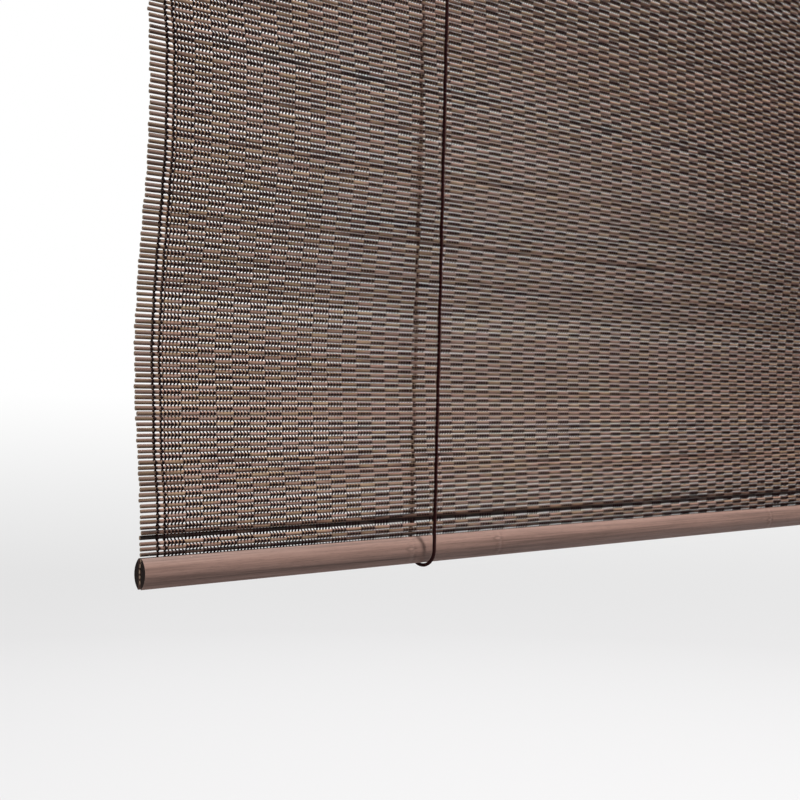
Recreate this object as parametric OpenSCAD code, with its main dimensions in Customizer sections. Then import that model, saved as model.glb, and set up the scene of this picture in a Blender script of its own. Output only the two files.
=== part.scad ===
// Bamboo roll up blind: a woven reed mat between a head batten and a two-slat bottom rail,
// lifted by two cords that run round the rail. Millimetres, +Z up, front towards -Y.
// The origin is midway between the two wall screw holes, on the batten's back face.

/* [Mat] */
// Length of the reeds, the width of the mat
mat_w = 1000; // [800:10:1600]
// Height from the top of the batten to the underside of the rail
blind_drop = 1600; // [900:10:2000]
// Distance from one reed to the next
reed_pitch = 3.1; // [3:0.1:5]
// Thickness of a reed
reed_d = 2.5; // [1.8:0.1:2.8]
// Thickness of the weave in the valley between two reeds
valley_t = 0.7; // [0.4:0.1:1.2]
// Height of an open gap between two reeds
gap_h = 0.9; // [0.4:0.1:1]
// One valley in this many is open
gap_every = 5; // [4:1:10]
// Width of the closed selvage at each side of the mat
selvage_w = 20; // [10:1:60]
// How far the mat ends stay inside the edges of the slats that clamp them
mat_inset = 1; // [0.5:0.5:4]
// Depth of the bulges in which the mat hangs
sway = 6.5; // [0:0.5:7]
// Height of one bulge
sway_h = 260; // [150:10:400]

/* [Slats] */
// Height of a half-round slat, across its flat
slat_h = 18; // [14:0.5:24]
// Thickness of a half-round slat at its middle
slat_t = 4; // [3:0.5:7]
// Gap between the reeds and the flat that clamps them
slat_clear = 0.1; // [0.05:0.05:0.2]
// How far the rail sticks out past the mat at each side
rail_overhang = 0.5; // [0:0.5:10]

/* [Head batten] */
// How far the batten sticks out past the mat at each side
batten_overhang = 5; // [0:1:20]
// Depth of the batten, from the wall to its front
batten_t = 14; // [14:1:24]
// Height of the batten
batten_h = 40; // [36:1:60]
// Height of the batten above the wall screws
batten_top = 16; // [15:1:24]
// Bevel along the batten's front edges
batten_bevel = 1.5; // [0.5:0.5:3]
// Radius of a wall screw hole
screw_hole_r = 2.5; // [2:0.25:4]
// Distance between the two wall screws
screw_spacing = 800; // [600:10:1200]
// Distance from the wall screws down to the top of the head slat
head_slat_drop = 5.5; // [4:0.5:8]

/* [Lift cords] */
// Thickness of the cord
cord_d = 2.4; // [1.6:0.1:3]
// Distance from the side of the mat to a cord
cord_inset = 233.5; // [150:0.5:300]
// Gap between the turning rail and the cord slung round it
sling_clear = 0.6; // [0.4:0.1:1.5]
// Radius of the cord's turns at the head
turn_r = 8; // [7:0.5:10]
// Distance from the wall screws down to the middle of the cord's turns
turn_drop = 2; // [0:0.5:3]
// Gap between the two cords where one lies over the other
nest_clear = 0.2; // [0.1:0.05:0.5]
// Length of the two tails below the turns
tail_l = 54; // [50:1:60]
// Radius of the knot that ends the tails
knot_r = 4.2; // [3.8:0.1:5]

/* [Screw eyes] */
// Thickness of the eye's wire
eye_wire = 2.5; // [2:0.1:3]
// Radius of the hole in the eye
eye_hole_r = 4; // [3.5:0.1:5]
// Depth of a guide eye's shank in the batten
guide_shank = 10; // [6:1:11]
// Depth of a tie eye's shank in the batten
tie_shank = 16; // [8:1:18]
// Distance from the batten's underside to the middle of a tie eye
tie_eye_drop = 8; // [7:0.5:12]
// Inner radius of the cord loop through a tie eye
loop_r = 1.6; // [1.55:0.05:1.9]
// Radius of the knot under that loop
tie_knot_r = 2.2; // [1.8:0.1:2.3]
// Gap round a shank, rivet or knot in its seat
seat_clear = 0.05; // [0.02:0.01:0.1]

/* [Cord lock] */
// Thickness of the lock's sheet metal
sheet_t = 1.2; // [0.8:0.1:1.5]
// Least distance from the head slat to the lock's rear cheek
cheek_gap = 1; // [0.8:0.1:3]
// Side gap of the cords in the lock's guide
groove_clear = 0.1; // [0.1:0.05:0.4]
// Thickness of the guide's two flanges
flange_t = 0.7; // [0.5:0.1:1.2]
// Side gap of the guide and the roller between the cheeks
side_clear = 0.2; // [0.1:0.05:0.4]
// Radius of the guide's rivet
rivet_r = 2; // [1.5:0.1:3]
// Radius of the jamming roller
roller_r = 4; // [3:0.1:4.5]
// Radius of the roller's trunnions
trunnion_r = 1.5; // [1:0.1:2]
// Gap between a trunnion and its slot
slot_clear = 0.25; // [0.1:0.05:0.4]
// Slant of the slots from level
slot_angle = 60; // [50:1:75]
// Travel of the roller along its slots
roller_travel = 6; // [3:0.5:7]
// Gap between the resting roller and the cords
jam_clear = 0.3; // [0.2:0.05:0.6]
// Width of the anvil tab that the cords are jammed on
anvil_w = 2; // [1:0.5:3]
// Height of the anvil tab
anvil_h = 7; // [5:0.5:9]
// Metal left round the guide, the anvil and the slots
cheek_edge = 3; // [2:0.5:5]
// Width of the mounting flange at each side of the cheeks
ear_w = 12; // [10:1:16]
// Radius of a lock screw's shank
lock_screw_r = 1.5; // [1:0.1:2]
// Radius of a lock screw's head
screw_head_r = 3.5; // [2.5:0.1:4.5]
// Depth of a lock screw in the batten
lock_screw_l = 9; // [6:1:11]

/* [Tassel] */
// Height of the turned tassel
tassel_h = 34; // [26:1:40]
// Radius of the tassel at its foot
tassel_r = 8; // [7:0.5:9]
// Radius of the tassel at its neck
tassel_neck_r = 5; // [4.8:0.1:6]
// Thickness of the wood above the knot
tassel_top = 8; // [5:0.5:10]
// Thickness of the tassel's wall at its foot
tassel_wall = 1.6; // [1:0.1:2]

/* [Hidden] */
$fn = 48;
// Overlap of a cutter past the faces that it cuts
cut = 1;

// Mat and slats
flat_y = reed_d / 2 + slat_clear;
mat_y = -(batten_t + flat_y);
rail_z = batten_top - blind_drop + slat_h / 2;
rail_top = rail_z + slat_h / 2;
head_slat_z = -head_slat_drop - slat_h / 2;
head_slat_foot = head_slat_z - slat_h / 2;
mat_top = -head_slat_drop - mat_inset;
mat_foot = rail_z - slat_h / 2 + mat_inset;
reed_count = floor((mat_top - mat_foot) / reed_pitch);
free_h = head_slat_foot - rail_top;
bulges = max(1, round(free_h / sway_h));
slat_r = (pow(slat_h / 2, 2) + pow(slat_t, 2)) / (2 * slat_t);
slat_front = mat_y - flat_y - slat_t;
batten_foot = batten_top - batten_h;

// Cords
cord_r = cord_d / 2;
groove_w = cord_d + 2 * groove_clear;
cheek_room = groove_w / 2 + flange_t + side_clear;
rail_reach = norm([slat_h / 2, flat_y]) + sling_clear + cord_r;
lock_reach = flat_y + slat_t + cheek_gap + sheet_t + cheek_room;
sling_r = max(rail_reach, lock_reach);
front_y = mat_y - sling_r;
back_y = mat_y + sling_r;
cord_x = mat_w / 2 - cord_inset;
turn_z = -turn_drop;
nest = cord_d + nest_clear;
left_turn_z = turn_z + nest;

// Screw eyes
eye_r = eye_hole_r + eye_wire / 2;
eye_turn = turn_r * cos(45);
guide_x = -cord_x + turn_r - eye_turn;
guide_z = left_turn_z + eye_turn;
tie_z = batten_foot - tie_eye_drop;
loop_mid_r = loop_r + cord_r;
loop_z = tie_z - eye_hole_r + seat_clear + cord_r - loop_mid_r;
tie_knot_z = loop_z - loop_mid_r - cord_r;

// Cord lock
lock_x = cord_x + turn_r;
right_tail_x = lock_x + turn_r;
left_tail_x = right_tail_x + nest;
tail_x = (left_tail_x + right_tail_x) / 2;
guide_core_r = turn_r - cord_r - seat_clear;
guide_r = turn_r + nest + cord_r / 2;
guide_half = groove_w / 2 + flange_t;
cheek_mid = front_y + cheek_room;
cheek_front = front_y - cheek_room - sheet_t;
cheek_back = cheek_mid + sheet_t;
cheek_left = lock_x - guide_r - cheek_edge;
roller_x = left_tail_x + cord_r + jam_clear + roller_r;
roller_drop = guide_r + seat_clear + anvil_h / 2;
roller_z = turn_z - roller_drop;
slot_dir = [cos(slot_angle), 0, sin(slot_angle)];
cheek_right = roller_x + roller_travel * slot_dir[0] + trunnion_r + slot_clear + cheek_edge;
cheek_foot = roller_z - roller_r - cheek_edge;
ear_foot = cheek_edge / 2 - head_slat_drop;
lock_screw_z = (batten_top + ear_foot) / 2;
screw_head_t = 2;
trunnion_end = 0.5;

// Tails and tassel
knot_flat_r = nest / 2 + cord_r + nest_clear;
knot_flat = sqrt(pow(knot_r, 2) - pow(knot_flat_r, 2));
knot_top = turn_z - tail_l;
knot_z = knot_top - knot_flat;
tassel_bore_r = knot_flat_r + nest_clear;
tassel_roof = knot_z + sqrt(pow(knot_r, 2) - pow(tassel_bore_r, 2)) + seat_clear;
tassel_hollow_r = knot_r + nest_clear;
tassel_z = tassel_roof + tassel_top;

// How far the mat hangs back at height z, none where the slats clamp it
function sway_at(z) =
    let (up = (z - rail_top) / free_h)
    up <= 0 || up >= 1 ? 0 : sway * (1 - up) * pow(sin(180 * bulges * up), 2);

// Outline point on one side of the mat: even steps are valleys, odd steps are reeds
function mat_point(step, side) =
    let (z = mat_top - step * reed_pitch / 2)
    [mat_y + sway_at(z) + side * (step % 2 == 0 ? valley_t : reed_d) / 2, z];

// Extrudes an outline drawn in Y and Z along X, centred
module along_x(length) {
    rotate([90, 0, 90])
        linear_extrude(length, center = true)
            children();
}

// Round bar along Y between two depths
module bar_y(r, y_from, y_to) {
    translate([0, y_from, 0])
        rotate([-90, 0, 0])
            cylinder(r = r, h = y_to - y_from);
}

// Slat of half-round section, its flat on the Y = 0 plane and its round side towards -Y
module half_round(length) {
    along_x(length)
        intersection() {
            translate([slat_r - slat_t, 0])
                circle(r = slat_r, $fn = 96);
            translate([-slat_t, -slat_h / 2])
                square([slat_t, slat_h]);
        }
}

// Straight cord upwards
module cord_up(h) {
    cylinder(d = cord_d, h = h);
}

// Cord arc in the X-Z plane, from an angle above +X
module cord_arc(r, from, sweep) {
    rotate([90, 0, 0])
        rotate([0, 0, from])
            rotate_extrude(angle = sweep)
                translate([r, 0])
                    circle(d = cord_d);
}

// Ring of the eye in the X-Z plane
module eye_ring() {
    rotate([90, 0, 0])
        rotate_extrude()
            translate([eye_r, 0])
                circle(d = eye_wire);
}

// Head batten on the wall, drilled for its wall screws, eyes and lock screws
module head_batten() {
    bevel = batten_bevel;
    color([0.33, 0.25, 0.21])
        difference() {
            along_x(mat_w + 2 * batten_overhang)
                polygon([
                    [0, batten_foot], [0, batten_top],
                    [-batten_t + bevel, batten_top], [-batten_t, batten_top - bevel],
                    [-batten_t, batten_foot + bevel], [-batten_t + bevel, batten_foot]
                ]);
            for (side = [-1, 1]) {
                translate([side * screw_spacing / 2, 0, 0])
                    bar_y(screw_hole_r, -batten_t - cut, cut);
                translate([side * cord_x, back_y, batten_foot - cut])
                    cylinder(d = eye_wire + 2 * seat_clear, h = tie_shank + cut);
            }
            translate([guide_x, 0, guide_z])
                bar_y(eye_wire / 2 + seat_clear, -batten_t - cut, guide_shank - batten_t);
            lock_screw_places()
                bar_y(lock_screw_r + seat_clear, -batten_t - cut, lock_screw_l - batten_t);
        }
}

// Half-round slat that clamps the mat against the batten
module head_slat() {
    color([0.40, 0.31, 0.26])
        translate([0, mat_y - flat_y, head_slat_z])
            half_round(mat_w);
}

// Woven mat: one ridge for each reed, with open gaps between the selvages
module reed_mat() {
    steps = 2 * reed_count;
    gap_w = mat_w - 2 * selvage_w;
    gap_first = ceil((mat_top - head_slat_foot) / reed_pitch) + 1;
    gap_last = floor((mat_top - rail_top) / reed_pitch) - 1;
    color([0.51, 0.43, 0.37])
        difference() {
            along_x(mat_w)
                polygon(concat(
                    [for (i = [0:steps]) mat_point(i, -1)],
                    [for (i = [steps:-1:0]) mat_point(i, 1)]
                ));
            for (i = [gap_first:gap_every:gap_last])
                translate([0, mat_y + sway_at(mat_top - i * reed_pitch), mat_top - i * reed_pitch])
                    cube([gap_w, reed_d + cut, gap_h], center = true);
        }
}

// Front half of the bottom rail
module rail_front_slat() {
    color([0.46, 0.37, 0.32])
        translate([0, mat_y - flat_y, rail_z])
            half_round(mat_w + 2 * rail_overhang);
}

// Rear half of the bottom rail
module rail_back_slat() {
    color([0.42, 0.33, 0.28])
        translate([0, mat_y + flat_y, rail_z])
            rotate([0, 0, 180])
                half_round(mat_w + 2 * rail_overhang);
}

// Screw eye that turns the left cord along the batten
module left_guide_eye() {
    color([0.55, 0.47, 0.30])
        translate([guide_x, front_y, guide_z]) {
            rotate([0, -45, 0])
                rotate([0, 0, 90])
                    eye_ring();
            bar_y(eye_wire / 2, eye_r, guide_shank - batten_t - front_y);
        }
}

// Screw eye under the batten that holds a cord's fixed end
module tie_eye(side) {
    color([0.55, 0.47, 0.30])
        translate([side * cord_x, back_y, tie_z]) {
            eye_ring();
            translate([0, 0, eye_r])
                cylinder(d = eye_wire, h = tie_eye_drop + tie_shank - eye_r);
        }
}

// Loop and knot that tie a cord to its eye
module tie_loop(side) {
    color([0.20, 0.13, 0.14])
        translate([side * cord_x, back_y, 0]) {
            translate([0, 0, loop_z])
                rotate([0, 0, 90])
                    cord_arc(loop_mid_r, 0, 360);
            translate([0, 0, tie_knot_z])
                sphere(r = tie_knot_r);
        }
}

// Front run of a lift cord, from the rail to its turn at the head
module front_cord(side) {
    top = side < 0 ? left_turn_z : turn_z;
    color([0.20, 0.12, 0.13])
        translate([side * cord_x, front_y, rail_z])
            cord_up(top - rail_z);
}

// Part of a lift cord that passes under the rail
module sling(side) {
    color([0.20, 0.12, 0.13])
        translate([side * cord_x, mat_y, rail_z])
            rotate([0, 0, 90])
                cord_arc(sling_r, 180, 180);
}

// Rear run of a lift cord, from the rail to its knot
module back_cord(side) {
    color([0.20, 0.12, 0.13])
        difference() {
            translate([side * cord_x, back_y, rail_z])
                cord_up(tie_knot_z - rail_z);
            translate([side * cord_x, back_y, tie_knot_z])
                sphere(r = tie_knot_r + seat_clear);
        }
}

// Left cord at the head: through its eye, along the batten, over the lock and down
module left_head_cord() {
    color([0.20, 0.12, 0.13])
        translate([0, front_y, 0]) {
            translate([-cord_x + turn_r, 0, left_turn_z])
                cord_arc(turn_r, 90, 90);
            translate([-cord_x + turn_r, 0, left_turn_z + turn_r])
                rotate([0, 90, 0])
                    cord_up(lock_x + cord_x - turn_r);
            translate([lock_x, 0, turn_z])
                cord_arc(turn_r + nest, 0, 90);
            translate([left_tail_x, 0, knot_top])
                cord_up(tail_l);
        }
}

// Right cord at the head: over the lock and down
module right_head_cord() {
    color([0.20, 0.12, 0.13])
        translate([0, front_y, 0]) {
            translate([lock_x, 0, turn_z])
                cord_arc(turn_r, 0, 180);
            translate([right_tail_x, 0, knot_top])
                cord_up(tail_l);
        }
}

// Places its children at the lock's two screws
module lock_screw_places() {
    for (x = [cheek_left - ear_w / 2, cheek_right + ear_w / 2])
        translate([x, 0, lock_screw_z])
            children();
}

// Slanted slot for the roller's trunnions
module roller_slot(y_from, y_to) {
    r = trunnion_r + slot_clear;
    translate([roller_x, 0, roller_z])
        bar_y(r, y_from, y_to);
    translate([roller_x, 0, roller_z] + roller_travel * slot_dir)
        bar_y(r, y_from, y_to);
    translate([roller_x, y_from, roller_z])
        rotate([0, -slot_angle, 0])
            translate([0, 0, -r])
                cube([roller_travel, y_to - y_from, 2 * r]);
}

// Sheet-metal cheek with bevelled lower corners
module cheek(y) {
    bevel = 2 * cheek_edge;
    translate([0, y + sheet_t, 0])
        rotate([90, 0, 0])
            linear_extrude(sheet_t)
                polygon([
                    [cheek_left, batten_top], [cheek_right, batten_top],
                    [cheek_right, cheek_foot + bevel], [cheek_right - bevel, cheek_foot],
                    [cheek_left + bevel, cheek_foot], [cheek_left, cheek_foot + bevel]
                ]);
}

// Folded body of the cord lock: ears on the batten, a roof, two cheeks and an anvil tab
module lock_body() {
    ear_left = cheek_left - ear_w;
    anvil_x = right_tail_x - cord_r - jam_clear - anvil_w;
    color([0.62, 0.60, 0.56])
        difference() {
            union() {
                translate([ear_left, -batten_t - sheet_t, ear_foot])
                    cube([cheek_right + ear_w - ear_left, sheet_t, batten_top - ear_foot]);
                translate([cheek_left, cheek_front, batten_top - sheet_t])
                    cube([cheek_right - cheek_left, -batten_t - cheek_front, sheet_t]);
                cheek(cheek_front);
                cheek(cheek_mid);
                translate([anvil_x, cheek_front, roller_z - anvil_h / 2])
                    cube([anvil_w, cheek_mid - cheek_front, anvil_h]);
            }
            translate([lock_x, 0, turn_z])
                bar_y(rivet_r + seat_clear, cheek_front - cut, cheek_back + cut);
            roller_slot(cheek_front - cut, cheek_back + cut);
            lock_screw_places()
                bar_y(lock_screw_r + slot_clear, -batten_t - sheet_t - cut, cut - batten_t);
        }
}

// Fixed guide that both cords run over, riveted between the cheeks
module lock_guide() {
    color([0.80, 0.77, 0.70])
        translate([lock_x, 0, turn_z]) {
            bar_y(guide_core_r, front_y - guide_half, front_y + guide_half);
            bar_y(guide_r, front_y - guide_half, front_y - groove_w / 2);
            bar_y(guide_r, front_y + groove_w / 2, front_y + guide_half);
            bar_y(rivet_r, cheek_front, cheek_back);
        }
}

// Roller that drops against the cords and jams them on the anvil
module lock_roller() {
    color([0.72, 0.60, 0.35])
        translate([roller_x, 0, roller_z]) {
            bar_y(roller_r, front_y - guide_half, front_y + guide_half);
            bar_y(trunnion_r, cheek_front - trunnion_end, cheek_back + trunnion_end);
        }
}

// Two screws that hold the lock on the batten
module lock_screws() {
    color([0.66, 0.64, 0.60])
        lock_screw_places() {
            bar_y(lock_screw_r, -batten_t - sheet_t, lock_screw_l - batten_t);
            bar_y(screw_head_r, -batten_t - sheet_t - screw_head_t, -batten_t - sheet_t);
        }
}

// Knot that ends both tails, flat where they enter it
module tail_knot() {
    color([0.20, 0.13, 0.14])
        translate([tail_x, front_y, knot_z])
            intersection() {
                sphere(r = knot_r);
                translate([-knot_r, -knot_r, -knot_r])
                    cube([2 * knot_r, 2 * knot_r, knot_r + knot_flat]);
            }
}

// Turned wooden tassel, a bell that hangs on the knot
module tassel() {
    flare = 10;
    roof = tassel_roof - tassel_z;
    color([0.42, 0.33, 0.28])
        translate([tail_x, front_y, tassel_z])
            rotate_extrude()
                polygon(concat(
                    [[tassel_bore_r, 0]],
                    [for (i = [0:flare])
                        let (down = i / flare, swell = pow(sin(90 * down), 2))
                        [tassel_neck_r + (tassel_r - tassel_neck_r) * swell, -tassel_h * down]],
                    [[tassel_r - tassel_wall, -tassel_h], [tassel_hollow_r, roof - 2 * knot_r],
                     [tassel_hollow_r, roof], [tassel_bore_r, roof]]
                ));
}

head_batten();
head_slat();
reed_mat();
rail_front_slat();
rail_back_slat();
left_guide_eye();
tie_eye(-1);  // left_tie_eye
tie_eye(1);  // right_tie_eye
tie_loop(-1);  // left_tie_loop
tie_loop(1);  // right_tie_loop
front_cord(-1);  // left_front_cord
front_cord(1);  // right_front_cord
sling(-1);  // left_sling
sling(1);  // right_sling
back_cord(-1);  // left_back_cord
back_cord(1);  // right_back_cord
left_head_cord();
right_head_cord();
lock_body();
lock_guide();
lock_roller();
lock_screws();
tail_knot();
tassel();
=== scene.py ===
# Looks of the bamboo roll up blind: woven reeds, bamboo slats, lift cords and head fittings. Metres.
import math

import bpy
import numpy as np
from mathutils import Matrix, Vector


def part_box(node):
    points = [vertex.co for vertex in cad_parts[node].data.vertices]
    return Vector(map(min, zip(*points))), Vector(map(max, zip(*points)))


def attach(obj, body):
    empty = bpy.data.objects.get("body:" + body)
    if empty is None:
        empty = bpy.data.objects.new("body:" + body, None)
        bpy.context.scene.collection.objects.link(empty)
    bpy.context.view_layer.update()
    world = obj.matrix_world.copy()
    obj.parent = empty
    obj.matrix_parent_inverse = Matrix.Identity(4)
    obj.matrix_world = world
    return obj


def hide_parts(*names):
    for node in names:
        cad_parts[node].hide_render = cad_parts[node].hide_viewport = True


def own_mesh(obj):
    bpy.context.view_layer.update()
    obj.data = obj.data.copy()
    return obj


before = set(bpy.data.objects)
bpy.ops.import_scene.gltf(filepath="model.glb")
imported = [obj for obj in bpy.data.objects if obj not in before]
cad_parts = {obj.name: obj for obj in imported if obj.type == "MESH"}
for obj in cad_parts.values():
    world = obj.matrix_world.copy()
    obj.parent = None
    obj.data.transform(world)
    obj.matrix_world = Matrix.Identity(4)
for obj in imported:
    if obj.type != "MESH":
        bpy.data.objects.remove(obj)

MM = 0.001
SEED = 12
scene = bpy.context.scene
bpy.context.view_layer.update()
rng = np.random.default_rng(SEED)

# Places taken from the CAD parts in model.glb
mat_low, mat_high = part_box("reed_mat")
rail_low, rail_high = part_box("rail_front_slat")
rear_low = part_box("rail_back_slat")[0]
head_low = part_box("head_slat")[0]
front_low, front_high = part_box("left_front_cord")
right_low, right_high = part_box("right_front_cord")
back_low, back_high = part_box("left_back_cord")
half_w = mat_high[0]
mat_y = (rail_high[1] + rear_low[1]) / 2
mat_top = mat_high[2]
rail_z = (rail_low[2] + rail_high[2]) / 2
rail_top = rail_high[2]
head_foot = head_low[2]
cord_x = (right_low[0] + right_high[0]) / 2
front_y = (front_low[1] + front_high[1]) / 2
back_y = (back_low[1] + back_high[1]) / 2
cord_r = (front_high[0] - front_low[0]) / 2

# Camera, as it stood for the photograph
IMAGE_PX = 800
FOCAL_PX = 1560
SENSOR_MM = 36
CLIP_START = 0.02
EYE = Vector((-1.0338, -0.7374, -1.4604))
YAW = math.radians(45.79)
PITCH = math.radians(-0.78)
ROLL = math.radians(1.34)

# Reeds; what varies is given as its middle, spread, least and most
REED_PITCH = 3.1 * MM
REED_HALF_H = 1.20 * MM
REED_HALF_T = 0.78 * MM
REED_H_VARIES = (1, 0.06, 0.84, 1.14)
REED_T_VARIES = (1, 0.04, 0.9, 1.06)
REED_SIDES = 8
REED_STATIONS = 9
REED_WANDER = 0.09 * MM
REED_RAGGED = (-0.9 * MM, 0.3 * MM)
SWAY = 6.5 * MM
SWAY_H = 260 * MM
DRIFT_PER_SWAY = 0.42
CREASE_UP = 11.1 * MM
CREASE_DEPTH = 0.9 * MM
CREASE_LIFT = 0.35 * MM
CREASE_SWELL = 1.1
RAIL_REED_LIFT = 0.25 * MM
CLAMPED_SHARE = 0.75
SOAKED_ENDS = 15 * MM
DARK_REEDS_UP = (208 * MM, 304 * MM, 560 * MM, 905 * MM, 1260 * MM)

# Places of reeds on the colour ramp of their stain, and of reeds set darker: those at DARK_REEDS_UP, and, as
# painted shade, the reeds at the crease and the reed just above the rail
REED_TONES = (0.5, 0.10, 0.25, 0.75)
DARK_TONE = 0.30
# Painted shade: the reed in the crease of the mat and the reed above it are set darker for the shade in the
# crease
CREASE_SHADE_TONE = -0.10
ABOVE_CREASE_SHADE_TONE = 0.22
# Painted shade: the reed just above the rail is set darker for the shade there
RAIL_REED_SHADE_TONE = 0.05

# Woven thread
STRAND_PITCH = 2.58 * MM
STRAND_W = 2.36 * MM
STRAND_W_VARIES = (1, 0.08, 0.8, 1.2)
GAP_STRAND_W = 1.10 * MM
GAP_STRAND_T = 1.00 * MM
FLAT_STRAND_W = 2.09 * MM
FLAT_STRAND_TILT = math.radians(45)
STRANDS_IN_GROUP = 5
SELVAGE_STRANDS = (11.8 * MM, 16.9 * MM)
SELVAGE_TWIST = 0.3 * MM
FIRST_GROUP = 19.5 * MM
STRAND_BASE = 0.9 * MM
STRAND_CREST = 2.1 * MM
CLAMPED_CREST = 1.2 * MM
RIDGED_STRANDS_UP = 500 * MM
STRAND_SLIP = 0.16 * MM
SLIP_KEPT = 0.8
STRAND_JITTER = 0.07 * MM

# Bamboo slats: waves, joints of the cane along X, each a ridge with a groove beside it, and knots in the rail
LONG_WAVE = 0.06 * MM
LONG_WAVE_RATE = 41
LONG_WAVE_SLANT = 3
SHORT_WAVE = 0.05 * MM
SHORT_WAVE_RATE = 97
SHORT_WAVE_PHASE = 1.3
SLAT_INSET = 0.1 * MM
RAIL_FRONT_JOINTS = (-0.283, -0.194, 0.170)
RAIL_BACK_JOINTS = (-0.310, 0.020, 0.330)
HEAD_JOINTS = (-0.240, 0.090, 0.380)
JOINT_RIDGE = 0.22 * MM
JOINT_RIDGE_L = 2.2 * MM
JOINT_GROOVE = 0.25 * MM
JOINT_GROOVE_L = 1.5 * MM
JOINT_GROOVE_OFF = 4 * MM
JOINT_REACH = 12 * MM
JOINT_STEP = 0.8 * MM
SLAT_STEP = 7 * MM
SLAT_SIDES = 19
WOOD_KNOT_L = 4 * MM
WOOD_KNOT_UP = (1.2 * MM, 3.5 * MM, -1.0 * MM)
WOOD_KNOT_H = (1.3 * MM, 1.2 * MM, 1.3 * MM)

# Turns of the lift cords at the head, as in the part's source
TURN_R = 8 * MM
NEST = 2.6 * MM
TAIL_FOOT = -56 * MM

# Fineness of the cords
CORD_STEP = 4 * MM
CORD_SIDES = 12
ARC_STEP_DEG = 7.5
SLING_POINTS = 25
LOOP_POINTS = 33

# Knots of the cords: radius of the wound cord as a share of the tied knot's or of the tail cord's,
# shape of the ring that it winds, and how far below the tied knot's middle the back run ends
TIE_KNOT_SHARE = 0.32
TAIL_KNOT_SHARE = 0.9
KNOT_RING_SHARE = 0.42
KNOT_RING_RISE = 1.7
TIED_BELOW = 0.8

# Shapes and shaders in general; no cord runs along OFF_AXIS, and nearly all of a noise lies in NOISE_RANGE
CRISP_ANGLE = math.radians(62)
OFF_AXIS = (0.36, 0.48, 0.80)
NOISE_RANGE = (0.3, 0.7)
FLOOR_SIDES = 96


def scatter(middle, spread, least, most, shape):
    """Random values about a middle, held between a least and a most."""
    return rng.normal(middle, spread, shape).clip(least, most)


def put(tree, kind, inputs=(), **settings):
    """Adds a shader node, with its settings and its inputs as values or links."""
    made = tree.nodes.new(kind)
    for name, value in settings.items():
        setattr(made, name, value)
    for socket, value in dict(inputs).items():
        if isinstance(value, bpy.types.NodeSocket):
            tree.links.new(value, made.inputs[socket])
        else:
            made.inputs[socket].default_value = value
    return made


def new_material(name):
    material = bpy.data.materials.new(name)
    material.use_nodes = True
    return material, material.node_tree, material.node_tree.nodes["Principled BSDF"]


def ramp(tree, factor, stops):
    """Colour ramp through (position, colour) stops."""
    made = put(tree, "ShaderNodeValToRGB", {"Fac": factor})
    elements = made.color_ramp.elements
    while len(elements) < len(stops):
        elements.new(1.0)
    for element, (position, colour) in zip(elements, stops):
        element.position = position
        element.color = (*colour, 1.0)
    return made.outputs["Color"]


def mix(tree, factor, first, second, how="MIX"):
    """Mixes two colours, each a link or a colour, by the node's sockets for colours."""
    sockets = {0: factor}
    for socket, colour in ((6, first), (7, second)):
        sockets[socket] = colour if isinstance(colour, bpy.types.NodeSocket) else (*colour, 1.0)
    return put(tree, "ShaderNodeMix", sockets, data_type="RGBA", blend_type=how).outputs[2]


def shade(tree, colour, grey):
    """Multiplies a colour by a grey."""
    made = put(tree, "ShaderNodeCombineColor", {"Red": grey, "Green": grey, "Blue": grey})
    return mix(tree, 1.0, colour, made.outputs["Color"], "MULTIPLY")


def math_node(tree, how, first, second=0.0):
    """Sum, product or the like of two values, each a link or a number."""
    return put(tree, "ShaderNodeMath", {0: first, 1: second}, operation=how).outputs[0]


def between(tree, value, low, high, to_low, to_high):
    """Maps a value from one range to another, held at the ends."""
    made = put(tree, "ShaderNodeMapRange", {
        "Value": value, "From Min": low, "From Max": high, "To Min": to_low, "To Max": to_high,
    })
    return made.outputs["Result"]


def noise(tree, scale, detail=4.0, roughness=0.6):
    """Noise stretched by a scale along each axis."""
    place = put(tree, "ShaderNodeTexCoord")
    stretch = put(tree, "ShaderNodeMapping", {"Vector": place.outputs["Object"], "Scale": scale})
    made = put(tree, "ShaderNodeTexNoise", {
        "Vector": stretch.outputs["Vector"], "Scale": 1.0, "Detail": detail, "Roughness": roughness,
    })
    return made.outputs["Fac"]


def bump(tree, shader, height, strength, distance):
    """Gives a shader fine relief."""
    made = put(tree, "ShaderNodeBump", {"Height": height, "Strength": strength, "Distance": distance})
    tree.links.new(made.outputs["Normal"], shader.inputs["Normal"])


def two_tone(tree, shader, cloud, dark, light, rough):
    """Colour from dark to light along a noise, with the roughness going along."""
    tree.links.new(ramp(tree, cloud, [(0.3, dark), (0.7, light)]), shader.inputs["Base Color"])
    tree.links.new(between(tree, cloud, *NOISE_RANGE, *rough), shader.inputs["Roughness"])


def facing_x(tree):
    """1 on faces across the X axis, such as the sawn ends of reeds and slats, and 0 elsewhere."""
    geometry = put(tree, "ShaderNodeNewGeometry")
    parts = put(tree, "ShaderNodeSeparateXYZ", {"Vector": geometry.outputs["True Normal"]})
    return between(tree, math_node(tree, "ABSOLUTE", parts.outputs["X"]), 0.6, 0.8, 0.0, 1.0)


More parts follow.
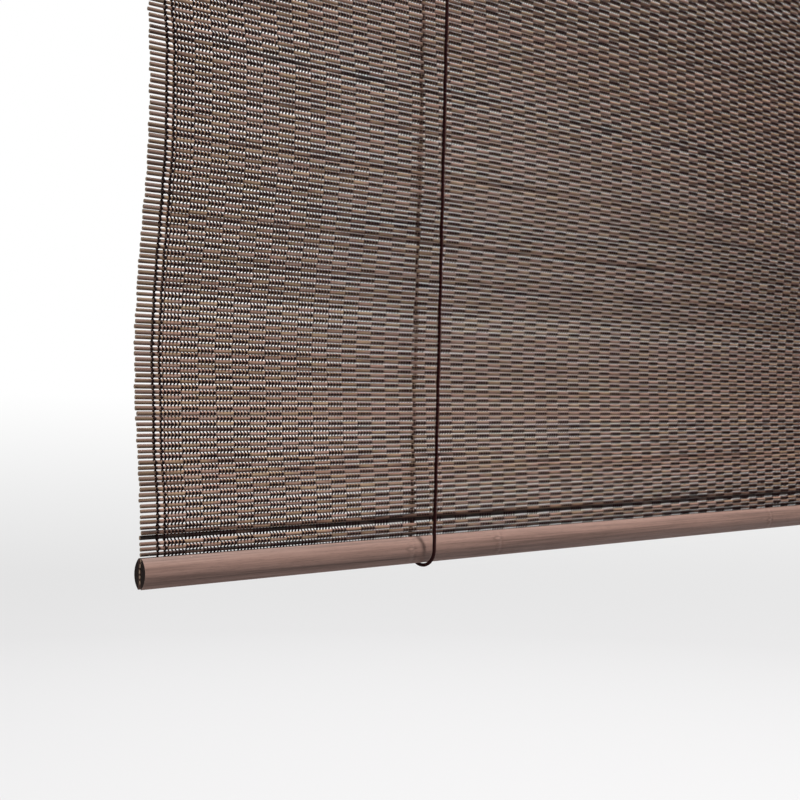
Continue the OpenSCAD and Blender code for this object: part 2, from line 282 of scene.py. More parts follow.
def reed_material():
    """Stained bamboo reeds, each of its own tone, with painted shade on the reeds at the crease and just
    above the rail, streaks along the fibres and darker soaked ends.
    """
    material, tree, shader = new_material("stained_reeds_with_painted_shade")
    tone = put(tree, "ShaderNodeAttribute", attribute_name="tone").outputs["Fac"]
    blotch = noise(tree, (26, 90, 311), detail=2.0)
    streak = noise(tree, (14, 900, 1500), detail=5.0, roughness=0.7)
    place = math_node(tree, "ADD", tone, between(tree, blotch, *NOISE_RANGE, -0.28, 0.28))
    # The tone attribute carries the painted shade of the crease and rail reeds into this ramp
    stain_and_painted_shade = ramp(tree, place, [
        (0.00, (0.018, 0.010, 0.008)),
        (0.12, (0.062, 0.034, 0.025)),
        (0.30, (0.128, 0.068, 0.048)),
        (0.42, (0.183, 0.118, 0.070)),
        (0.54, (0.200, 0.110, 0.083)),
        (0.66, (0.207, 0.130, 0.104)),
        (0.82, (0.234, 0.152, 0.091)),
        (1.00, (0.290, 0.182, 0.132)),
    ])
    coordinates = put(tree, "ShaderNodeTexCoord")
    position = put(tree, "ShaderNodeSeparateXYZ", {"Vector": coordinates.outputs["Object"]})
    from_middle = math_node(tree, "ABSOLUTE", position.outputs["X"])
    soaked = between(tree, from_middle, half_w - SOAKED_ENDS, half_w - 0.7 * SOAKED_ENDS, 1.0, 0.55)
    grey = math_node(tree, "MULTIPLY", soaked, between(tree, streak, 0.32, 0.72, 0.62, 1.16))
    coloured = mix(tree, facing_x(tree), shade(tree, stain_and_painted_shade, grey), (0.330, 0.240, 0.170))
    tree.links.new(coloured, shader.inputs["Base Color"])
    tree.links.new(between(tree, streak, *NOISE_RANGE, 0.68, 0.48), shader.inputs["Roughness"])
    shader.inputs["Specular IOR Level"].default_value = 0.15
    bump(tree, shader, streak, strength=0.35, distance=0.2 * MM)
    return material


def strand_material():
    """Dark spun thread."""
    material, tree, shader = new_material("dark_thread")
    fibre = noise(tree, (1700, 1700, 900), detail=3.0)
    thread_colour = ramp(tree, fibre, [(0.3, (0.005, 0.002, 0.002)), (0.7, (0.016, 0.007, 0.007))])
    tree.links.new(thread_colour, shader.inputs["Base Color"])
    shader.inputs["Roughness"].default_value = 0.8
    shader.inputs["Specular IOR Level"].default_value = 0.05
    return material


def cord_material():
    """Braided dark cord, its braid laid out on the tube's own coordinates, with painted shade in the braid's
    grooves and painted light on its crowns.
    """
    material, tree, shader = new_material("braided_cord")
    place = put(tree, "ShaderNodeTexCoord").outputs["UV"]
    braid = None
    for slant in (1.0, -1.0):
        turned = put(tree, "ShaderNodeMapping", {
            "Vector": place, "Rotation": (0.0, 0.0, slant * math.radians(45)),
        })
        wave = put(tree, "ShaderNodeTexWave", {
            "Vector": turned.outputs["Vector"], "Scale": 2.25, "Distortion": 0.3,
        }, wave_type="BANDS").outputs["Fac"]
        braid = wave if braid is None else math_node(tree, "MULTIPLY", braid, wave)
    fibre = noise(tree, (1500, 1500, 600), detail=3.0)
    # Painted light and shade: the braid's crowns are coloured lighter and its grooves darker, with fibre
    # noise on top
    crowns = math_node(tree, "MULTIPLY", braid, 0.6)
    lit = math_node(tree, "ADD", crowns, math_node(tree, "MULTIPLY", fibre, 0.4))
    thread_colour = ramp(tree, lit, [(0.15, (0.008, 0.002, 0.002)), (0.75, (0.040, 0.010, 0.010))])
    tree.links.new(thread_colour, shader.inputs["Base Color"])
    shader.inputs["Roughness"].default_value = 0.72
    shader.inputs["Specular IOR Level"].default_value = 0.06
    bump(tree, shader, lit, strength=0.5, distance=0.3 * MM)
    return material


def wood_material(name, dark, middle, light, grain, knots=()):
    """Stained wood or bamboo with its grain along X, pale knots and dark sawn ends."""
    material, tree, shader = new_material(name)
    band = noise(tree, (1.6, 160 * grain, 160 * grain), detail=3.0, roughness=0.55)
    fibre = noise(tree, (9, 900 * grain, 900 * grain), detail=6.0, roughness=0.7)
    pore = noise(tree, (120, 2600, 2600), detail=2.0)
    wide = math_node(tree, "MULTIPLY", band, 0.4)
    tone = math_node(tree, "ADD", wide, math_node(tree, "MULTIPLY", fibre, 0.6))
    colour = ramp(tree, tone, [(0.34, dark), (0.50, middle), (0.64, light)])
    colour = shade(tree, colour, between(tree, pore, 0.30, 0.45, 0.72, 1.0))
    position = put(tree, "ShaderNodeTexCoord").outputs["Object"]
    for place, length, height in knots:
        away = put(tree, "ShaderNodeVectorMath", {0: position, 1: place}, operation="SUBTRACT")
        scaled = put(tree, "ShaderNodeVectorMath", {
            0: away.outputs["Vector"], 1: (1 / length, 0.0, 1 / height),
        }, operation="MULTIPLY")
        span = put(tree, "ShaderNodeVectorMath", {0: scaled.outputs["Vector"]}, operation="LENGTH")
        fray = between(tree, fibre, *NOISE_RANGE, -0.25, 0.25)
        rough_span = math_node(tree, "ADD", span.outputs["Value"], fray)
        colour = mix(tree, between(tree, rough_span, 0.9, 1.6, 0.6, 0.0), colour, dark)
        colour = mix(tree, between(tree, rough_span, 0.45, 0.95, 0.8, 0.0), colour, light)
    colour = mix(tree, facing_x(tree), colour, tuple(0.12 * value for value in middle))
    tree.links.new(colour, shader.inputs["Base Color"])
    tree.links.new(between(tree, fibre, *NOISE_RANGE, 0.62, 0.42), shader.inputs["Roughness"])
    shader.inputs["Specular IOR Level"].default_value = 0.15
    bump(tree, shader, fibre, strength=0.3, distance=0.25 * MM)
    return material


def metal_material(name, dark, light, rough, scale):
    """Plated, bronzed or brass metal with faint clouds or streaks."""
    material, tree, shader = new_material(name)
    fine = noise(tree, (4000, 4000, 4000), detail=2.0)
    two_tone(tree, shader, noise(tree, scale), dark, light, rough)
    shader.inputs["Metallic"].default_value = 1.0
    bump(tree, shader, fine, strength=0.12, distance=0.05 * MM)
    return material


def plastic_material(name, dark, light):
    """Moulded plastic with a fine matt grain."""
    material, tree, shader = new_material(name)
    cloud = noise(tree, (180, 180, 180), detail=3.0)
    fine = noise(tree, (5000, 5000, 5000), detail=2.0)
    two_tone(tree, shader, cloud, dark, light, rough=(0.5, 0.38))
    bump(tree, shader, fine, strength=0.15, distance=0.05 * MM)
    return material


def turned_material(name, dark, light):
    """Turned wood with its grain up and down and faint tool rings."""
    material, tree, shader = new_material(name)
    fibre = noise(tree, (900, 900, 30), detail=5.0, roughness=0.7)
    rings = noise(tree, (8, 8, 900), detail=1.0)
    two_tone(tree, shader, fibre, dark, light, rough=(0.55, 0.4))
    bump(tree, shader, math_node(tree, "ADD", fibre, rings), strength=0.2, distance=0.1 * MM)
    return material


def add_piece(name, points, faces, material, crisp=True):
    """Makes one piece of the object from points and faces, crisp along edges such as those of sawn ends."""
    mesh = bpy.data.meshes.new(name)
    mesh.from_pydata(np.asarray(points).reshape(-1, 3).tolist(), [], faces)
    mesh.shade_smooth()
    if crisp:
        mesh.set_sharp_from_angle(angle=CRISP_ANGLE)
    mesh.materials.append(material)
    piece = bpy.data.objects.new(name, mesh)
    scene.collection.objects.link(piece)
    return piece


def tube_faces(tubes, rings, sides, first=0, closed=True):
    """Faces of tubes whose points go round each ring, ring by ring, tube by tube."""
    index = first + np.arange(tubes * rings * sides).reshape(tubes, rings, sides)
    here, there = index[:, :-1], index[:, 1:]
    if not closed:
        quads = np.stack([here[..., :-1], here[..., 1:], there[..., 1:], there[..., :-1]], -1)
        return quads.reshape(-1, 4).tolist()
    quads = np.stack([here, np.roll(here, -1, 2), np.roll(there, -1, 2), there], -1)
    return quads.reshape(-1, 4).tolist() + index[:, 0, ::-1].tolist() + index[:, -1].tolist()


def tube_rings(path, radius, sides):
    """Rings of points round a path, turned as little as possible from one to the next."""
    path = np.asarray(path, float)
    along = np.gradient(path, axis=0)
    along /= np.linalg.norm(along, axis=1)[:, None]
    side = np.cross(along[0], OFF_AXIS)
    angle = np.linspace(0, 2 * math.pi, sides, endpoint=False)[:, None]
    rings = []
    for place, way in zip(path, along):
        side = side - way * (side @ way)
        side /= np.linalg.norm(side)
        rings.append(place + radius * (np.cos(angle) * side + np.sin(angle) * np.cross(way, side)))
    return np.array(rings)


def straight(start, end, step=CORD_STEP):
    """Points on a straight line, both ends included."""
    start, end = np.array(start, float), np.array(end, float)
    count = max(2, round(np.linalg.norm(end - start) / step) + 1)
    return start + np.linspace(0, 1, count)[:, None] * (end - start)


def arc_xz(x, z, radius, start, end, y):
    """Points on an arc in the X-Z plane, its angles in degrees from +X."""
    angle = np.radians(np.linspace(start, end, max(4, round(abs(end - start) / ARC_STEP_DEG) + 1)))
    return np.stack([x + radius * np.cos(angle), np.full_like(angle, y), z + radius * np.sin(angle)], 1)


def arc_yz(y, z, radius, start, end, x, count):
    """Points on an arc in the Y-Z plane, its angles in degrees from +Y."""
    angle = np.radians(np.linspace(start, end, count))
    return np.stack([np.full_like(angle, x), y + radius * np.cos(angle), z + radius * np.sin(angle)], 1)


def join_runs(*runs):
    """Joins stretches of a route that share their end points."""
    return np.concatenate([runs[0]] + [run[1:] for run in runs[1:]])


def add_tube(name, path, radius, material, sides=CORD_SIDES):
    """Cord along a path, with coordinates round and along it for its braid."""
    rings = tube_rings(path, radius, sides)
    count = len(rings)
    piece = add_piece(name, rings, tube_faces(1, count, sides), material)
    along = np.concatenate([[0], np.cumsum(np.linalg.norm(np.diff(path, axis=0), axis=1))])
    along = along / (2 * math.pi * radius)
    around = np.arange(sides) / sides
    corner = np.zeros((count - 1, sides, 4, 2))
    corner[..., 0] = around[None, :, None] + np.array([0, 1, 1, 0]) / sides
    corner[..., 1] = np.stack([along[:-1], along[:-1], along[1:], along[1:]], 1)[:, None, :]
    caps = np.zeros((2 * sides, 2))
    layer = piece.data.uv_layers.new(name="braid")
    layer.data.foreach_set("uv", np.concatenate([corner.reshape(-1, 2), caps]).ravel())
    return piece


def knot_path(place, radius, tube_r, turns=2, winds=5, count=140):
    """Closed winding of a knot that fills a ball of that radius."""
    t = np.linspace(0, 2 * math.pi, count)
    thick = (radius - tube_r) * KNOT_RING_SHARE
    ring = radius - tube_r - thick + thick * np.cos(winds * t)
    return np.array(place) + np.stack([
        ring * np.cos(turns * t), ring * np.sin(turns * t), KNOT_RING_RISE * thick * np.sin(winds * t),
    ], 1)


def make_camera():
    """Camera at EYE, turned by YAW from +Y, then by PITCH and ROLL."""
    forward = Vector((math.sin(YAW) * math.cos(PITCH), math.cos(YAW) * math.cos(PITCH), math.sin(PITCH)))
    level = Vector((math.cos(YAW), -math.sin(YAW), 0.0))
    rise = level.cross(forward)
    right = level * math.cos(ROLL) + rise * math.sin(ROLL)
    up = rise * math.cos(ROLL) - level * math.sin(ROLL)
    data = bpy.data.cameras.new("camera")
    data.sensor_width = SENSOR_MM
    data.lens = SENSOR_MM * FOCAL_PX / IMAGE_PX
    data.clip_start = CLIP_START
    camera = bpy.data.objects.new("camera", data)
    turned = Matrix((right, up, -forward)).transposed().to_4x4()
    turned.translation = EYE
    camera.matrix_world = turned
    scene.collection.objects.link(camera)
    scene.camera = camera


def declare_cord(piece, node, body):
    """Hides the CAD node that a cord stands for and hangs the cord on the body it rides on."""
    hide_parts(node)
    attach(piece, body)


def squash_to(piece):
    """Gives a piece a mesh of its own."""
    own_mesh(piece)


def make_side_cords(side, label, turn_z, material):
    """Front run, sling, back run and tied end of one lift cord."""
    x = side * cord_x
    route = straight((x, front_y, turn_z), (x, front_y, rail_z))
    piece = add_tube(f"{label}_front_cord_braid", route, cord_r, material)
    declare_cord(piece, f"{label}_front_cord", "head")
    squash_to(piece)

    reach = (back_y - front_y) / 2
    middle = (back_y + front_y) / 2
    route = arc_yz(middle, rail_z, reach, 180, 360, x, SLING_POINTS)
    piece = add_tube(f"{label}_sling_braid", route, cord_r, material)
    declare_cord(piece, f"{label}_sling", "slings")

    loop_low, loop_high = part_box(f"{label}_tie_loop")
    loop_r = (loop_high[1] - loop_low[1]) / 2 - cord_r
    loop_z = loop_high[2] - cord_r - loop_r
    knot_r = loop_z - loop_r - cord_r - loop_low[2]
    knot_z = loop_low[2] + knot_r
    wound_r = TIE_KNOT_SHARE * knot_r
    loop = arc_yz(back_y, loop_z, loop_r, -90, 270, x, LOOP_POINTS)
    rings = tube_rings(loop, cord_r, CORD_SIDES)
    winding = tube_rings(knot_path((x, back_y, knot_z), knot_r, wound_r), wound_r, CORD_SIDES)
    faces = tube_faces(1, len(rings), CORD_SIDES)
    faces += tube_faces(1, len(winding), CORD_SIDES, first=len(rings) * CORD_SIDES)
    tied = add_piece(f"{label}_tied_end", np.concatenate([rings, winding]), faces, material)
    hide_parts(f"{label}_tie_loop")
    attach(tied, "head")

    top = knot_z - TIED_BELOW * knot_r
    route = straight((x, back_y, rail_z), (x, back_y, top))
    piece = add_tube(f"{label}_back_cord_braid", route, cord_r, material)
    declare_cord(piece, f"{label}_back_cord", "head")
    squash_to(piece)


def make_head_cords(material):
    """Both cords at the head: the left one along the batten, and both over the lock and down to the knot."""
    left_z = front_high[2]
    right_z = right_high[2]
    lock_x = cord_x + TURN_R
    knot_low, knot_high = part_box("tail_knot")
    knot_r = (knot_high[0] - knot_low[0]) / 2
    knot_x = (knot_high[0] + knot_low[0]) / 2
    knot_z = knot_low[2] + knot_r
    wound_r = TAIL_KNOT_SHARE * cord_r
    winding = knot_path((knot_x, front_y, knot_z), knot_r, wound_r)
    knot = add_tube("tail_knot_winding", winding, wound_r, material)
    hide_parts("tail_knot")
    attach(knot, "head")

    tail_x = lock_x + TURN_R + NEST
    left = join_runs(
        arc_xz(TURN_R - cord_x, left_z, TURN_R, 180, 90, front_y),
        straight((TURN_R - cord_x, front_y, left_z + TURN_R), (lock_x, front_y, left_z + TURN_R)),
        arc_xz(lock_x, right_z, TURN_R + NEST, 90, 0, front_y),
        straight((tail_x, front_y, right_z), (tail_x, front_y, TAIL_FOOT)),
    )
    piece = add_tube("left_head_cord_braid", left, cord_r, material)
    declare_cord(piece, "left_head_cord", "head")

    tail_x = lock_x + TURN_R
    right = join_runs(
        arc_xz(lock_x, right_z, TURN_R, 180, 0, front_y),
        straight((tail_x, front_y, right_z), (tail_x, front_y, TAIL_FOOT)),
    )
    piece = add_tube("right_head_cord_braid", right, cord_r, material)
    declare_cord(piece, "right_head_cord", "head")


def sway_at(z):
    """How far the mat hangs back at a height, as in the part's source."""
    free_h = head_foot - rail_top
    up = np.clip((z - rail_top) / free_h, 0, 1)
    bulges = round(free_h / SWAY_H)
    return SWAY * (1 - up) * np.sin(math.pi * bulges * up) ** 2


class Weave:
    """Where each reed of the mat lies, shared by the reeds and the thread woven round them."""

    def __init__(self):
        self.rows = round((mat_high[2] - mat_low[2]) / REED_PITCH)
        self.row = np.arange(self.rows)
        self.z = mat_top - (self.row + 0.5) * REED_PITCH + rng.normal(0, REED_WANDER, self.rows)
        self.stations = np.linspace(-half_w, half_w, REED_STATIONS)
        self.wander_z = rng.normal(0, REED_WANDER, (self.rows, REED_STATIONS))
        self.wander_y = rng.normal(0, REED_WANDER, (self.rows, REED_STATIONS))
        self.half_h = REED_HALF_H * scatter(*REED_H_VARIES, self.rows)
        self.half_t = REED_HALF_T * scatter(*REED_T_VARIES, self.rows)
        self.tone = scatter(*REED_TONES, self.rows)
        self.back = np.zeros(self.rows)
        for up in DARK_REEDS_UP:
            self.tone[self.nearest(rail_top + up)] = DARK_TONE
        crease = self.nearest(rail_top + CREASE_UP)
        # Painted shade in the crease: this reed and the one above it are set darker
        self.tone[crease] = CREASE_SHADE_TONE
        self.back[crease] = CREASE_DEPTH
        self.tone[crease - 1] = ABOVE_CREASE_SHADE_TONE
        above_rail = self.nearest(rail_top + REED_PITCH / 2)
        # Painted shade: the reed just above the rail is set darker
        self.tone[above_rail] = RAIL_REED_SHADE_TONE
        self.z[above_rail] += RAIL_REED_LIFT
        self.z[crease] += CREASE_LIFT
        self.half_h[crease] *= CREASE_SWELL
        self.half_t[(self.z < rail_top) | (self.z > head_foot)] *= CLAMPED_SHARE

    def nearest(self, z):
        return int(np.abs(self.z - z).argmin())

    def middle(self, x):
        """Places of every reed's middle line at the given x, as (rows, len(x)) arrays."""
        along = (np.asarray(x) + half_w) / (2 * half_w)
        step = np.clip(along * (REED_STATIONS - 1), 0, REED_STATIONS - 1.001)
        low = step.astype(int)
        share = step - low
        z = self.z[:, None] + self.wander_z[:, low] * (1 - share) + self.wander_z[:, low + 1] * share
        wander_y = self.wander_y[:, low] * (1 - share) + self.wander_y[:, low + 1] * share
        sway = sway_at(z)
        free = (z < head_foot) & (z > rail_top)
        y = mat_y + sway + np.where(free, wander_y + self.back[:, None], 0)
        return np.asarray(x)[None, :] - DRIFT_PER_SWAY * sway, y, z


def hang_on_rail(piece):
    """A piece of the mat: it hides the CAD mat that it stands for and hangs from the head, with a mesh of its
    own.
    """
    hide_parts("reed_mat")
    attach(piece, "head")
    squash_to(piece)


def make_reeds(weave, material):
    """Every reed of the mat, a flattened rod with ragged ends."""
    x, y, z = weave.middle(weave.stations)
    x[:, 0] += rng.uniform(*REED_RAGGED, weave.rows)
    x[:, -1] -= rng.uniform(*REED_RAGGED, weave.rows)
    angle = np.linspace(0, 2 * math.pi, REED_SIDES, endpoint=False)
    across = np.cos(angle)
    upward = np.sin(angle)
    points = np.empty((weave.rows, REED_STATIONS, REED_SIDES, 3))
    points[..., 0] = x[..., None]
    points[..., 1] = y[..., None] + weave.half_t[:, None, None] * across
    points[..., 2] = z[..., None] + weave.half_h[:, None, None] * upward
    faces = tube_faces(weave.rows, REED_STATIONS, REED_SIDES)
    reeds = add_piece("reeds", points, faces, material)
    tone = reeds.data.attributes.new("tone", "FLOAT", "POINT")
    tone.data.foreach_set("value", np.repeat(weave.tone, REED_STATIONS * REED_SIDES))
    hang_on_rail(reeds)


def strand_places():
    """The x of every strand and the number of its group; neighbouring groups cross the reeds in turn."""
    inner_w = 2 * (half_w - FIRST_GROUP)
    groups = round(inner_w / (STRANDS_IN_GROUP * STRAND_PITCH))
    inner = np.linspace(-inner_w / 2, inner_w / 2, groups * STRANDS_IN_GROUP)
    group = np.arange(len(inner)) // STRANDS_IN_GROUP
    edge = np.repeat(SELVAGE_STRANDS, 2) + np.tile((-SELVAGE_TWIST, SELVAGE_TWIST), len(SELVAGE_STRANDS))
    twined = np.tile((0, 1), len(SELVAGE_STRANDS))
    x = np.concatenate([edge - half_w, inner, half_w - edge[::-1]])
    return x, np.concatenate([twined, group, twined])


class Strands:
    """Where each strand of thread crosses each reed, as arrays by strand and row."""

    def __init__(self, weave):
        place, group = strand_places()
        x, y, z = weave.middle(place)
        slip = np.zeros(weave.rows)
        for i in range(1, weave.rows):
            slip[i] = SLIP_KEPT * slip[i - 1] + rng.normal(0, STRAND_SLIP)
        x = x + slip[:, None] + rng.normal(0, STRAND_JITTER, x.shape)
        free = (z < head_foot - REED_PITCH / 2) & (z > rail_top + REED_PITCH / 2)
        self.number = np.arange(len(place))
        self.over = np.stack([x, y, z], -1).swapaxes(0, 1)
        self.free = free.T
        self.crest = np.where(free, STRAND_CREST, CLAMPED_CREST).T
        self.side = np.where((weave.row[:, None] + group[None, :]) % 2 == 0, -1.0, 1.0).T
        self.spread = scatter(*STRAND_W_VARIES, x.shape).T


def make_ridged_strands(strands, rows, material):
    """Thread in the lower mat: wide and ridged over each reed, narrow and thick between two reeds."""
    for label, chosen in zip(("left", "middle", "right"), np.array_split(strands.number, 3)):
        over = strands.over[chosen, rows]
        way, out, wide = (values[chosen, rows] for values in (strands.side, strands.crest, strands.spread))
        rings = 2 * over.shape[1] - 1
        line = np.empty((len(chosen), rings, 3))
        line[:, 0::2] = over
        line[:, 1::2] = (over[:, :-1] + over[:, 1:]) / 2
        half = np.full((len(chosen), rings), GAP_STRAND_W / 2)
        half[:, 0::2] = STRAND_W / 2 * wide
        base = np.full((len(chosen), rings), GAP_STRAND_T / 2)
        ridge = -base
        base[:, 0::2] = way * STRAND_BASE
        ridge[:, 0::2] = way * out
        points = np.repeat(line[:, :, None], 3, axis=2)
        points[..., 0] += np.stack([half, 0 * half, -half], -1)
        points[..., 1] += np.stack([base, ridge, base], -1)
        faces = tube_faces(points.shape[0], points.shape[1], 3, closed=False)
        hang_on_rail(add_piece(f"weave_lower_{label}", points, faces, material, crisp=False))


def make_flat_strands(strands, rows, material):
    """Thread in the upper mat: flat ribbons, tilted in turn so that no side sees through them."""
    for label, chosen in zip(("left", "right"), np.array_split(strands.number, 2)):
        over = strands.over[chosen, rows].copy()
        over[..., 1] += strands.side[chosen, rows] * strands.crest[chosen, rows]
        half = FLAT_STRAND_W / 2 * strands.spread[chosen, rows]
        turn = np.where(chosen % 2 == 0, FLAT_STRAND_TILT, -FLAT_STRAND_TILT)[:, None]
        lean = strands.free[chosen, rows] * np.sin(turn)
        points = np.repeat(over[:, :, None], 2, axis=2)
        points[..., 0] += np.stack([half, -half], -1) * math.cos(FLAT_STRAND_TILT)
        points[..., 1] += np.stack([half, -half], -1) * lean[..., None]
        faces = tube_faces(points.shape[0], points.shape[1], 2, closed=False)
        hang_on_rail(add_piece(f"weave_upper_{label}", points, faces, material, crisp=False))


def make_slat(name, node, round_side, body, joints, material):
    """Half-round bamboo slat with slight waves, and a ridge and a groove at each joint of the cane."""
    low, high = (np.array(corner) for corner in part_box(node))
    chord, thick = high[2] - low[2], high[1] - low[1]
    radius = ((chord / 2) ** 2 + thick ** 2) / (2 * thick)
    flat_y = high[1] if round_side < 0 else low[1]
    mid_z = (low[2] + high[2]) / 2
    half_angle = math.asin(chord / 2 / radius)
    x = [np.arange(low[0], high[0], SLAT_STEP), [high[0]]]
    x += [np.arange(joint - JOINT_REACH, joint + JOINT_REACH, JOINT_STEP) for joint in joints]
    x = np.unique(np.round(np.concatenate(x), 5))
    angle = np.linspace(-half_angle, half_angle, SLAT_SIDES)
    swell = LONG_WAVE * np.sin(x[:, None] * LONG_WAVE_RATE + angle * LONG_WAVE_SLANT)
    swell = swell + SHORT_WAVE * np.sin(x[:, None] * SHORT_WAVE_RATE + SHORT_WAVE_PHASE)
    for joint in joints:
        away = x[:, None] - joint
        swell = swell + JOINT_RIDGE * np.exp(-(away / JOINT_RIDGE_L) ** 2)
        swell = swell - JOINT_GROOVE * np.exp(-((away - JOINT_GROOVE_OFF) / JOINT_GROOVE_L) ** 2)
    fade = np.cos(angle / half_angle * math.pi / 2) ** 0.5
    reach = radius + (swell - SLAT_INSET) * fade
    y = flat_y + round_side * (reach * np.cos(angle) - (radius - thick))
    z = mid_z + reach * np.sin(angle)
    dome = np.stack([np.broadcast_to(x[:, None], y.shape), y, z], -1)
    if round_side > 0:
        dome = dome[:, ::-1]
    count, sides = dome.shape[:2]
    flat = dome[:, [-1, 0]]
    points = np.concatenate([dome.reshape(-1, 3), flat.reshape(-1, 3), dome[0], dome[-1]])
    faces = tube_faces(1, count, sides, closed=False)
    faces += tube_faces(1, count, 2, first=count * sides, closed=False)
    cap = count * sides + count * 2
    faces += [list(range(cap, cap + sides))[::-1], list(range(cap + sides, cap + 2 * sides))]
    faces = [face[::-1] for face in faces]
    slat = add_piece(name, points, faces, material)
    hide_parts(node)
    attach(slat, body)


def finish_node(node, material):
    """Gives a CAD node its material."""
    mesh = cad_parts[node].data
    mesh.materials.clear()
    mesh.materials.append(material)


def make_light(name, place, target, size, power, colour):
    """Round area light at a place, turned to a target."""
    data = bpy.data.lights.new(name, "AREA")
    data.shape = "DISK"
    data.size = size
    data.energy = power
    data.color = colour
    light = bpy.data.objects.new(name, data)
    light.location = place
    light.rotation_euler = (Vector(target) - Vector(place)).to_track_quat("-Z", "Y").to_euler()
    scene.collection.objects.link(light)


def seen_directly(tree):
    """1 for what the camera sees and 0 for light on its way to the object."""
    return put(tree, "ShaderNodeLightPath").outputs["Is Camera Ray"]


def make_world(fill):
    """White background that lights the object only by the given fill."""
    world = bpy.data.worlds.new("studio")
    world.use_nodes = True
    scene.world = world
    tree = world.node_tree
    tree.nodes.clear()
    white = put(tree, "ShaderNodeBackground", {"Color": (1.0, 1.0, 1.0, 1.0), "Strength": 1.0})
    soft = put(tree, "ShaderNodeBackground", {"Color": (1.0, 0.99, 0.98, 1.0), "Strength": fill})
    chosen = put(tree, "ShaderNodeMixShader", {0: seen_directly(tree)})
    tree.links.new(soft.outputs[0], chosen.inputs[1])
    tree.links.new(white.outputs[0], chosen.inputs[2])
    out = put(tree, "ShaderNodeOutputWorld")
    tree.links.new(chosen.outputs[0], out.inputs["Surface"])


def make_floor(z, radius, fade_from, fade_to, grey):
    """Pale round floor that turns into the white background towards its rim."""
    angle = np.linspace(0, 2 * math.pi, FLOOR_SIDES, endpoint=False)
    rim = np.stack([radius * np.cos(angle), radius * np.sin(angle), np.full_like(angle, z)], 1)
    mesh = bpy.data.meshes.new("floor")
    mesh.from_pydata(rim.tolist(), [], [list(range(len(rim)))])
    material, tree, shader = new_material("pale_floor")
    shader.inputs["Base Color"].default_value = (0.32, 0.32, 0.33, 1.0)
    shader.inputs["Roughness"].default_value = 0.9
    place = put(tree, "ShaderNodeTexCoord").outputs["Object"]
    level = put(tree, "ShaderNodeVectorMath", {0: place, 1: (1.0, 1.0, 0.0)}, operation="MULTIPLY")
    away = put(tree, "ShaderNodeVectorMath", {0: level.outputs["Vector"]}, operation="LENGTH")
    near = math_node(tree, "DIVIDE", 1.0, away.outputs["Value"])
    white_share = between(tree, near, 1 / fade_to, 1 / fade_from, 1.0, 1.0 - grey)
    white = put(tree, "ShaderNodeEmission", {"Color": (1.0, 1.0, 1.0, 1.0), "Strength": 1.0})
    shown = math_node(tree, "MULTIPLY", white_share, seen_directly(tree))
    blend = put(tree, "ShaderNodeMixShader", {0: shown})
    tree.links.new(shader.outputs[0], blend.inputs[1])
    tree.links.new(white.outputs[0], blend.inputs[2])
    out = next(n for n in tree.nodes if n.type == "OUTPUT_MATERIAL")
    tree.links.new(blend.outputs[0], out.inputs["Surface"])
    mesh.materials.append(material)
    floor = bpy.data.objects.new("floor", mesh)
    scene.collection.objects.link(floor)


# Camera and cords come first
make_camera()
braid = cord_material()
make_side_cords(-1, "left", front_high[2], braid)
make_side_cords(1, "right", right_high[2], braid)
make_head_cords(braid)

# Mat
weave = Weave()
make_reeds(weave, reed_material())
strands = Strands(weave)
thread = strand_material()
split = weave.nearest(rail_top + RIDGED_STRANDS_UP)
make_ridged_strands(strands, slice(split, weave.nearest(rail_top) + 2), thread)
make_flat_strands(strands, slice(weave.nearest(head_foot) - 1, split + 1), thread)

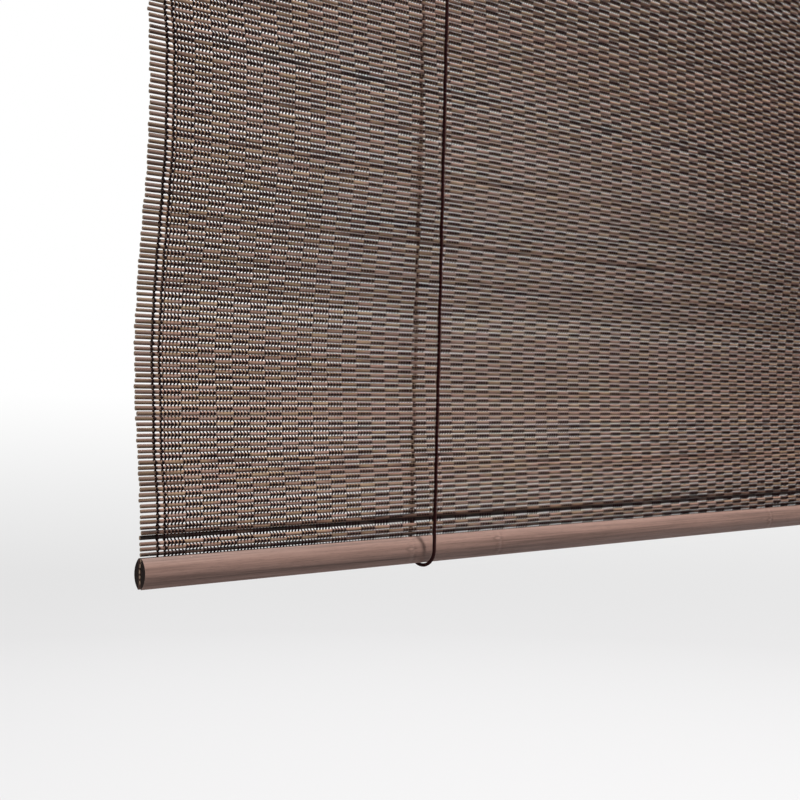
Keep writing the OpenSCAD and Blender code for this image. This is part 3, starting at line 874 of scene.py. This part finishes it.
# Slats
bamboo_dark = (0.066, 0.041, 0.034)
bamboo_middle = (0.136, 0.083, 0.069)
bamboo_light = (0.176, 0.111, 0.093)
rail_knots = [
    ((joint, 0.0, rail_z + up), WOOD_KNOT_L, height)
    for joint, up, height in zip(RAIL_FRONT_JOINTS, WOOD_KNOT_UP, WOOD_KNOT_H)
]
bamboo = (bamboo_dark, bamboo_middle, bamboo_light)
rail_bamboo = wood_material("rail_bamboo", *bamboo, grain=1.0, knots=rail_knots)
head_bamboo = wood_material("head_bamboo", *bamboo, grain=1.1)
make_slat("rail_front_bamboo", "rail_front_slat", -1, "rail", RAIL_FRONT_JOINTS, rail_bamboo)
make_slat("rail_back_bamboo", "rail_back_slat", 1, "rail", RAIL_BACK_JOINTS, rail_bamboo)
make_slat("head_bamboo_slat", "head_slat", -1, "head", HEAD_JOINTS, head_bamboo)

# Head batten and fittings
batten_wood = wood_material(
    "batten_wood", (0.075, 0.050, 0.040), (0.150, 0.104, 0.082), (0.215, 0.155, 0.122), grain=0.45,
)
finish_node("head_batten", batten_wood)
bronze = metal_material(
    "bronzed_wire", (0.22, 0.17, 0.11), (0.42, 0.34, 0.22), rough=(0.42, 0.28), scale=(300, 300, 300),
)
for node in ("left_guide_eye", "left_tie_eye", "right_tie_eye"):
    finish_node(node, bronze)
zinc = metal_material(
    "zinc_plate", (0.46, 0.46, 0.47), (0.62, 0.62, 0.61), rough=(0.46, 0.30), scale=(60, 300, 300),
)
for node in ("lock_body", "lock_screws"):
    finish_node(node, zinc)
finish_node("lock_guide", plastic_material("guide_plastic", (0.50, 0.47, 0.41), (0.60, 0.57, 0.50)))
brass = metal_material(
    "roller_brass", (0.42, 0.30, 0.12), (0.62, 0.47, 0.22), rough=(0.4, 0.24), scale=(500, 100, 500),
)
finish_node("lock_roller", brass)
finish_node("tassel", turned_material("tassel_wood", (0.090, 0.060, 0.047), (0.240, 0.168, 0.132)))

# Light, background and floor
make_world(fill=0.25)
make_light("key", (1.1, -2.0, 3.85), (-0.1, 0.0, -1.35), size=1.0, power=990, colour=(1.0, 0.985, 0.96))
make_light("fill", (-2.2, -1.6, -1.9), (0.0, 0.0, -1.2), size=1.6, power=16, colour=(0.97, 0.985, 1.0))
make_light("back", (1.6, 2.6, 0.6), (0.0, 0.0, -0.8), size=1.6, power=60, colour=(1.0, 1.0, 1.0))
make_floor(z=-2.15, radius=45.0, fade_from=3.0, fade_to=45.0, grey=0.52)

scene.view_settings.view_transform = "Standard"
